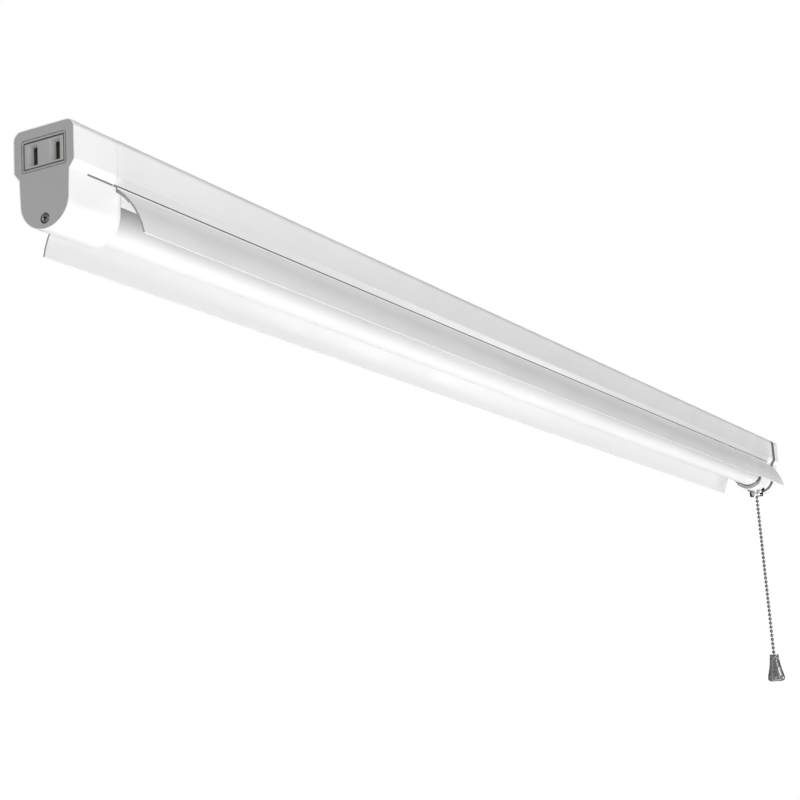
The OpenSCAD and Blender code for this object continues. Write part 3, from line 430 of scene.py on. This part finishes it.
def joined(tree, *shapes):
    join = add_node(tree, "GeometryNodeJoinGeometry")
    for shape in shapes:
        tree.links.new(shape, join.inputs["Geometry"])
    return join.outputs["Geometry"]


def at_points(tree, points, shape, turn=None):
    """Puts a shape at every point of a mesh."""
    spread = add_node(tree, "GeometryNodeInstanceOnPoints")
    tree.links.new(points, spread.inputs["Points"])
    tree.links.new(shape, spread.inputs["Instance"])
    if turn is not None:
        tree.links.new(turn, spread.inputs["Rotation"])
    return spread.outputs["Instances"]


def bead_chain_tree():
    """Beads at an even pitch, each with a collar at both poles, on thin pins."""
    tree, sizes, out = new_tree("bead_chain", {
        "Beads": ("NodeSocketInt", CHAIN_BEADS), "Pitch": ("NodeSocketFloat", BEAD_PITCH),
        "Bead Radius": ("NodeSocketFloat", BEAD_R), "Pin Radius": ("NodeSocketFloat", LINK_R)})
    pitch, bead_radius = sizes.outputs["Pitch"], sizes.outputs["Bead Radius"]
    line = add_node(tree, "GeometryNodeMeshLine")
    tree.links.new(sizes.outputs["Beads"], line.inputs["Count"])
    tree.links.new(upward(tree, times(tree, pitch, -1)), line.inputs["Offset"])
    bead = add_node(tree, "GeometryNodeMeshUVSphere", Segments=28, Rings=18)
    tree.links.new(bead_radius, bead.inputs["Radius"])
    collar = cylinder(tree, 20, times(tree, bead_radius, 0.5), times(tree, bead_radius, 1.94))
    pin = moved(tree, cylinder(tree, 16, sizes.outputs["Pin Radius"], pitch), times(tree, pitch, 0.5))
    link = joined(tree, bead.outputs["Mesh"], collar, pin)
    finish_tree(tree, at_points(tree, line.outputs["Mesh"], link), MATERIALS["dark_nickel"], out)
    return tree


def cross_head_tree(material):
    """Domed screw heads with a tapered cross recess, one at each point of the mesh it runs on.
    No two shapes of a head share a plane, so that its faces stay closed."""
    tree, sizes, out = new_tree("cross_heads_" + material.name, {
        "Head Radius": ("NodeSocketFloat", 2.5 * MM), "Head Height": ("NodeSocketFloat", 1.3 * MM),
        "Shank Radius": ("NodeSocketFloat", 1.5 * MM), "Shank Length": ("NodeSocketFloat", 9 * MM),
        "Turn": ("NodeSocketRotation", None)})
    radius, height, length = (sizes.outputs[label] for label in ("Head Radius", "Head Height", "Shank Length"))
    base = moved(tree, cylinder(tree, 48, radius, times(tree, height, 0.6)), times(tree, height, 0.3))
    crown = cone(tree, 48, times(tree, radius, 0.985), times(tree, radius, 0.78), times(tree, height, 0.5))
    head = add_node(tree, "GeometryNodeMeshBoolean", operation="UNION")
    tree.links.new(base, head.inputs["Mesh 2"])
    tree.links.new(moved(tree, crown, times(tree, height, 0.5)), head.inputs["Mesh 2"])
    recess = add_node(tree, "GeometryNodeMeshBoolean", operation="DIFFERENCE")
    tree.links.new(head.outputs["Mesh"], recess.inputs["Mesh 1"])
    for turn, blade_foot in ((0, 0.25), (math.pi / 2, 0.29)):
        blade = cone(tree, 4, times(tree, radius, 0.45), times(tree, radius, 0.95), height)
        square = moved(tree, blade, Rotation=(0, 0, math.pi / 4))
        thin = moved(tree, square, times(tree, height, blade_foot), Scale=(1, 0.24, 1), Rotation=(0, 0, turn))
        tree.links.new(thin, recess.inputs["Mesh 2"])
    shank = moved(tree, cylinder(tree, 32, sizes.outputs["Shank Radius"], length), times(tree, length, -0.5))
    screw = joined(tree, recess.outputs["Mesh"], shank)
    screws = at_points(tree, sizes.outputs["Geometry"], screw, sizes.outputs["Turn"])
    finish_tree(tree, screws, material, out)
    return tree


def spots(name, points):
    mesh = bpy.data.meshes.new(name)
    mesh.from_pydata([Vector(point) * MM for point in points], [], [])
    return add_object(name, mesh)


# ---- Pieces ----

EASED = {
    "housing_channel": ("folded_housing", 0.12),
    "near_shroud": ("near_moulded_end", 0.15),
    "reflector": ("winged_reflector", 0.25),
    "lens": ("half_round_lens", 0.15),
    "far_shroud": ("far_moulded_end", 0.15),
    "far_band": ("grey_band", 0.2),
    "far_cap": ("far_end_cap", 0.5),
    "cord_gland": ("cord_gland_ring", 0.3),
    "saddle_washer": ("saddle_flange", 0.15),
}


def finish_index(piece, finish):
    """Where a finish stands among a piece's own finishes. It is added if it is missing."""
    finishes = list(piece.data.materials)
    if MATERIALS[finish] not in finishes:
        piece.data.materials.append(MATERIALS[finish])
        finishes.append(MATERIALS[finish])
    return finishes.index(MATERIALS[finish])


def bare_ends(piece):
    """Gives the sheared ends of a long piece the grey of bare metal."""
    bare = finish_index(piece, "sheared_edge")
    places = [vertex.co.x for vertex in piece.data.vertices]
    first, last = min(places), max(places)
    for face in piece.data.polygons:
        at_end = min(face.center.x - first, last - face.center.x) < BARE_EDGE
        if at_end and abs(face.normal.x) > 0.6:
            face.material_index = bare


def paint_shade_in_box(piece, low, high, finish="shadowed_gap"):
    """Gives the faces that lie in a box, in millimetres, a dark finish: painted shade where light can't reach.
    """
    dark = finish_index(piece, finish)
    for face in piece.data.polygons:
        if all(low[i] * MM <= face.center[i] <= high[i] * MM for i in range(3)):
            face.material_index = dark


def paint_seam_shadow(piece):
    """Splits off the lowest strip of both shoulders, the line where the wings are tucked under, and paints its
    shadow on it.
    """
    dark = finish_index(piece, "shadowed_gap")
    shape = bmesh.new()
    shape.from_mesh(piece.data)
    bmesh.ops.bisect_plane(shape, geom=shape.verts[:] + shape.edges[:] + shape.faces[:],
        plane_co=(0, 0, SEAM_Z), plane_no=(0, 0, 1))
    for face in shape.faces:
        middle = face.calc_center_median()
        on_shoulder = SEAM_NEAR_Y < abs(middle.y) < SEAM_FAR_Y and abs(face.normal.y) > 0.3
        if on_shoulder and middle.z < SEAM_Z:
            face.material_index = dark
    shape.to_mesh(piece.data)
    shape.free()


def paint_lens_gap_shadow(piece):
    """A painted shadow on a narrow ring of the rim around the lens, where the gap between them lies."""
    dark = finish_index(piece, "shadowed_gap")
    shape = bmesh.new()
    shape.from_mesh(piece.data)
    front = min(vertex.co.x for vertex in shape.verts) + 0.1 * MM
    rim = []
    for face in shape.faces:
        middle = face.calc_center_median()
        if face.normal.x < -0.9 and middle.x < front and middle.z < END_RIM_TOP_Z:
            rim.append(face)
    borders = bmesh.ops.inset_region(shape, faces=rim, thickness=LENS_GAP_SHADOW_WIDTH, use_even_offset=True)["faces"]
    for face in borders:
        middle = face.calc_center_median()
        from_axis = math.hypot(middle.y, middle.z - LENS_AXIS_Z)
        if from_axis < LENS_R + LENS_GAP_SHADOW_WIDTH and middle.z < LENS_AXIS_Z:
            face.material_index = dark
    shape.to_mesh(piece.data)
    shape.free()


EASED_PIECES = {node: ease_edges(node, name, radius) for node, (name, radius) in EASED.items()}

bare_ends(EASED_PIECES["reflector"])
# Painted shade: the grey band takes the darker copy of its grey plastic.
EASED_PIECES["far_band"].data.materials[0] = MATERIALS["deep_grey_plastic"]
# Painted shade: the groove under both shoulders of the near end takes the grey plastic finish as its shadow.
for low_y, high_y in ((-14.75, -13.5), (13.5, 14.75)):
    paint_shade_in_box(EASED_PIECES["near_shroud"], (-521.5, low_y, -23.85), (-499, high_y, -22.95), "grey_plastic")
paint_seam_shadow(EASED_PIECES["housing_channel"])
paint_lens_gap_shadow(EASED_PIECES["far_shroud"])


def chain_piece():
    chain = spots("bead_chain", [(0, 0, 0)])
    grow(chain, bead_chain_tree(), beads=CHAIN_BEADS)
    chain.data.transform(Matrix.Translation((CHAIN_X, 0, LEAD_Z - BEAD_PITCH)))
    smooth_by_angle(chain.data, 40)
    hand_over(chain, "ball_chain")


def bell_piece():
    outer, neck, mouth = 6.25, 3.95, 5.3
    top, floor, end = -50.4, -51.6, -53.9
    profile = [(neck, top), (outer - 0.2, top)]
    profile += [(outer - 0.2 + 0.2 * math.sin(a), top - 0.2 + 0.2 * math.cos(a)) for a in (0.5, 1.05, 1.57)]
    profile += [(outer - 0.5 + 0.5 * math.cos(a), end + 0.5 - 0.5 * math.sin(a))
        for a in (0, 0.4, 0.8, 1.2, 1.57)]
    profile += [(mouth + 0.1, end), (mouth, end + 0.1), (4.6, end + 0.55), (3.7, end + 1.1), (2.9, floor - 0.4)]
    profile += [(2.8, floor), (neck, floor)]
    hand_over(turned("bell_mouth_nut", profile), "bell_mouth")


def knob_piece():
    """Smoky knob: a flared body with a collar groove near its top and a chamber for the ferrule."""
    top_z = KNOB_TOP_Z / MM
    outside = [(3.7, 0.0), (3.95, 0.08), (4.08, 0.3), (4.2, 2.0), (4.42, 4.6), (4.36, 4.75), (4.4, 4.95),
        (4.62, 6.5), (5.0, 9.0), (5.5, 11.7), (6.0, 14.0), (6.6, 16.3), (7.2, 18.4), (7.6, 20.0),
        (7.78, 21.0), (7.72, 22.0), (7.4, 23.0), (6.9, 23.7), (6.2, 24.2), (5.2, 24.46), (4.4, 24.5)]
    inside = [(3.0, 24.5), (2.75, 24.3), (2.7, 24.0), (2.7, 15.6), (2.6, 15.4), (1.9, 15.2), (1.8, 15.0),
        (1.8, 0.3), (2.0, 0.05), (2.3, 0.0)]
    profile = [(radius, top_z - depth) for radius, depth in outside + inside]
    hand_over(turned("smoky_knob", profile, 128), "pull_knob")


def outlet_piece():
    """Outlet block: two tapered mouths in its face, each leading to a blade slot that goes through, its depth
    painted dark as shade.
    """
    face_x, depth, mouth_depth, middle_z = -533.5, 12.0, 2.6, -13.0
    half_w, half_h, pitch = 11.0, 5.9, 6.35
    mouth, slot = (2.9, 5.1), (1.1, 4.2)
    shape = bmesh.new()
    made = {}

    def corner(x, y, z):
        key = (round(x, 3), round(y, 3), round(z, 3))
        if key not in made:
            made[key] = shape.verts.new((x * MM, y * MM, (middle_z + z) * MM))
        return made[key]

    def pierced_face(x, hole):
        across = [-half_w, -pitch - hole[0], -pitch + hole[0], pitch - hole[0], pitch + hole[0], half_w]
        up = [-half_h, -hole[1], hole[1], half_h]
        for i, (y0, y1) in enumerate(zip(across, across[1:])):
            for j, (z0, z1) in enumerate(zip(up, up[1:])):
                if not (i in (1, 3) and j == 1):
                    shape.faces.new([corner(x, *p) for p in ((y0, z0), (y1, z0), (y1, z1), (y0, z1))])

    def hole_wall(y, x0, hole0, x1, hole1):
        signs = [(-1, -1), (1, -1), (1, 1), (-1, 1)]
        for a, b in zip(signs, signs[1:] + signs[:1]):
            shape.faces.new([
                corner(x0, y + a[0] * hole0[0], a[1] * hole0[1]),
                corner(x0, y + b[0] * hole0[0], b[1] * hole0[1]),
                corner(x1, y + b[0] * hole1[0], b[1] * hole1[1]),
                corner(x1, y + a[0] * hole1[0], a[1] * hole1[1])])

    pierced_face(face_x, mouth)
    pierced_face(face_x + depth, slot)
    for y in (-pitch, pitch):
        hole_wall(y, face_x, mouth, face_x + mouth_depth, slot)
        hole_wall(y, face_x + mouth_depth, slot, face_x + depth, slot)
    rims = [edge for edge in shape.edges if edge.is_boundary]
    bmesh.ops.bridge_loops(shape, edges=rims)
    bmesh.ops.recalc_face_normals(shape, faces=shape.faces)
    mesh = bpy.data.meshes.new("outlet_block")
    shape.to_mesh(mesh)
    shape.free()
    block = add_object("outlet_block", mesh)
    ease = block.modifiers.new("ease", "BEVEL")
    ease.width = 0.15 * MM
    ease.segments = 2
    ease.limit_method = "ANGLE"
    ease.angle_limit = math.radians(15)
    plain_mesh(block)
    smooth_by_angle(block.data, 30)
    hand_over(block, "outlet_insert")
    # Painted shade: the depth of each blade slot is given the near-black gap finish.
    for side in (-1, 1):
        paint_shade_in_box(block, (face_x + mouth_depth - 0.4, side * pitch - 1.5, middle_z - 4.5),
            (face_x + depth - 0.1, side * pitch + 1.5, middle_z + 4.5))


def spring_piece():
    """The return spring: a coil with closed ends, at its rest length. In the switch it shortens as the chain is
    pulled.
    """
    bottom, top, coil_r, wire_r, turns = -44.0, -33.3, 2.55, 0.4, 7
    steps, sides = 28 * turns, 10
    shape = bmesh.new()
    rings = []
    for i in range(steps + 1):
        share = i / steps
        eased = min(max((share - 1 / turns) / (1 - 2 / turns), 0), 1)
        lift = bottom + wire_r + (top - bottom - 2 * wire_r) * eased
        turn = 2 * math.pi * turns * share
        ring = []
        for k in range(sides):
            around = 2 * math.pi * k / sides
            out = coil_r + wire_r * math.cos(around)
            ring.append(shape.verts.new((CHAIN_X + out * MM * math.cos(turn), out * MM * math.sin(turn),
                (lift + wire_r * math.sin(around)) * MM)))
        rings.append(ring)
    for ring, following in zip(rings, rings[1:]):
        for k in range(sides):
            j = (k + 1) % sides
            shape.faces.new((ring[k], following[k], following[j], ring[j]))
    shape.faces.new(rings[0])
    shape.faces.new(rings[-1][::-1])
    bmesh.ops.recalc_face_normals(shape, faces=shape.faces)
    mesh = bpy.data.meshes.new("return_spring")
    shape.to_mesh(mesh)
    shape.free()
    smooth_by_angle(mesh, 40)
    spring = add_object("return_spring", mesh)
    hand_over(spring, "switch_spring")
    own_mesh(spring)


def near_screw_piece():
    screw = spots("near_cross_screw", [(-532.1, 0, -44)])
    grow(screw, cross_head_tree(MATERIALS["dark_nickel"]), head_radius=2.4 * MM, head_height=1.3 * MM,
        shank_radius=1.5 * MM, shank_length=9 * MM, turn=(0, -math.pi / 2, 0))
    smooth_by_angle(screw.data, 30)
    hand_over(screw, "near_screw")


def cap_screw_piece():
    screws = spots("cap_cross_screws", [(531.9, 11.6, -4.3), (531.9, -11.6, -4.3)])
    grow(screws, cross_head_tree(MATERIALS["steel"]), head_radius=2.3 * MM, head_height=1.5 * MM,
        shank_radius=1.25 * MM, shank_length=24.9 * MM, turn=(0, math.pi / 2, 0))
    smooth_by_angle(screws.data, 30)
    hand_over(screws, "cap_screws")


chain_piece()
bell_piece()
knob_piece()
outlet_piece()
near_screw_piece()
cap_screw_piece()
spring_piece()

# ---- Camera ----

CAMERA_PLACE = Vector((-1113.5, -477.6, -295.2)) * MM
CAMERA_HEADING = math.radians(28.574)
CAMERA_PITCH = math.radians(12.798)
CAMERA_ROLL = math.radians(-3.488)
CAMERA_LENS = 78.632
CAMERA_FILM = 36
CAMERA_SHIFT = (0.0306, -0.0224)


def make_camera():
    ahead = Vector((
        math.cos(CAMERA_PITCH) * math.cos(CAMERA_HEADING),
        math.cos(CAMERA_PITCH) * math.sin(CAMERA_HEADING),
        math.sin(CAMERA_PITCH),
    ))
    flat_right = ahead.cross(Vector((0, 0, 1))).normalized()
    flat_up = flat_right.cross(ahead)
    right = flat_right * math.cos(CAMERA_ROLL) + flat_up * math.sin(CAMERA_ROLL)
    up = flat_up * math.cos(CAMERA_ROLL) - flat_right * math.sin(CAMERA_ROLL)
    turn = Matrix((right, up, -ahead)).transposed()
    data = bpy.data.cameras.new("camera")
    data.lens = CAMERA_LENS
    data.sensor_width = CAMERA_FILM
    data.shift_x, data.shift_y = CAMERA_SHIFT
    data.clip_start = 0.01
    data.clip_end = 60
    camera = add_object("camera", data)
    camera.matrix_world = Matrix.Translation(CAMERA_PLACE) @ turn.to_4x4()
    bpy.context.scene.camera = camera


make_camera()

# ---- Floor, world and lamps ----

FLOOR_Z = -1.9
FLOOR_HALF = 9
FLOOR_GLOW = 0.35
SOFT_LIGHT = 0.38


def seen_ray(tree):
    """1 for a ray that shows the background itself: seen straight, in a gloss or through something clear."""
    path = add_node(tree, "ShaderNodeLightPath")
    seen = path.outputs["Is Camera Ray"]
    for kind in ("Is Transmission Ray", "Is Glossy Ray"):
        either = add_node(tree, "ShaderNodeMath", operation="MAXIMUM")
        tree.links.new(seen, either.inputs[0])
        tree.links.new(path.outputs[kind], either.inputs[1])
        seen = either.outputs[0]
    return seen


def pale_floor():
    mesh = bpy.data.meshes.new("floor")
    corners = [(x * FLOOR_HALF, y * FLOOR_HALF, FLOOR_Z) for x, y in ((-1, -1), (1, -1), (1, 1), (-1, 1))]
    mesh.from_pydata(corners, [], [(0, 1, 2, 3)])
    floor = add_object("floor", mesh)
    material, tree, shader = new_material("pale_floor")
    shader.inputs["Base Color"].default_value = (0.82, 0.82, 0.82, 1)
    shader.inputs["Roughness"].default_value = 0.8
    shader.inputs["Emission Color"].default_value = (1, 1, 1, 1)
    glow = add_node(tree, "ShaderNodeMath", operation="MULTIPLY")
    glow.inputs[1].default_value = FLOOR_GLOW
    tree.links.new(seen_ray(tree), glow.inputs[0])
    tree.links.new(glow.outputs[0], shader.inputs["Emission Strength"])
    mesh.materials.append(material)


def white_surround():
    world = bpy.data.worlds.new("surround")
    bpy.context.scene.world = world
    world.use_nodes = True
    tree = world.node_tree
    tree.nodes.clear()
    soft = add_node(tree, "ShaderNodeBackground", Color=(1, 1, 1, 1), Strength=SOFT_LIGHT)
    seen = add_node(tree, "ShaderNodeBackground", Color=(1, 1, 1, 1), Strength=1)
    mix = add_node(tree, "ShaderNodeMixShader")
    out = add_node(tree, "ShaderNodeOutputWorld")
    tree.links.new(seen_ray(tree), mix.inputs["Fac"])
    tree.links.new(soft.outputs[0], mix.inputs[1])
    tree.links.new(seen.outputs[0], mix.inputs[2])
    tree.links.new(mix.outputs[0], out.inputs["Surface"])


def add_lamp(name, place, aim, size, power):
    data = bpy.data.lights.new(name, "AREA")
    data.shape = "RECTANGLE"
    data.size, data.size_y = size
    data.energy = power
    lamp = add_object(name, data)
    lamp.location = place
    lamp.rotation_euler = (Vector(aim) - Vector(place)).to_track_quat("-Z", "Y").to_euler()
    lamp.visible_camera = False


def glossy_card(name, corners, glow=0.0):
    """A studio card that only glossy surfaces see: a black flag, or a bright strip where it glows."""
    mesh = bpy.data.meshes.new(name)
    mesh.from_pydata(corners, [], [(0, 1, 2, 3)])
    card = add_object(name, mesh)
    material, _, shader = new_material(name + "_cloth")
    shader.inputs["Base Color"].default_value = (0.01, 0.01, 0.01, 1)
    shader.inputs["Roughness"].default_value = 1
    shader.inputs["Emission Color"].default_value = (1, 1, 1, 1)
    shader.inputs["Emission Strength"].default_value = glow
    mesh.materials.append(material)
    card.visible_camera = False
    card.visible_diffuse = False
    card.visible_transmission = False
    card.visible_shadow = False


pale_floor()
white_surround()
add_lamp("side", (-1.4, -4.1, 0.6), (0.1, 0, 0), (2.2, 2.2), 70)
add_lamp("below", (0.1, -0.2, -1.7), (0.1, 0, 0), (2.4, 1.3), 26)
add_lamp("end", (-2.6, -0.4, -0.3), (-0.5, 0, 0), (1.4, 1.2), 17)
add_lamp("above", (0.4, 1.8, 2.0), (0.1, 0, 0), (2.0, 2.0), 36)
add_lamp("far_end", (0.95, -0.6, -0.35), (0.52, 0, -0.03), (0.3, 0.3), 1.6)
glossy_card("flag_behind", [(1.9, -1.6, -1.8), (1.9, 2.4, -1.8), (1.9, 2.4, 1.6), (1.9, -1.6, 1.6)])
glossy_card("flag_beside", [(-0.4, 2.0, -1.8), (1.9, 2.4, -1.8), (1.9, 2.4, 1.6), (-0.4, 2.0, 1.6)])
glossy_card("flag_front", [(-0.15, -1.5, -0.06), (1.9, -1.6, -0.06), (1.9, -1.6, 0.34), (-0.15, -1.5, 0.34)])
glossy_card("strip_card", [(0, -1.3, 0.34), (0.75, -1.42, 0.34), (0.75, -1.42, 1.1), (0, -1.3, 1.1)], 8.0)
glossy_card("flag_above", [(-1.6, -1.2, 1.4), (1.9, -1.2, 1.4), (1.9, 2.4, 1.4), (-1.6, 2.4, 1.4)])

bpy.context.scene.view_settings.view_transform = "Standard"
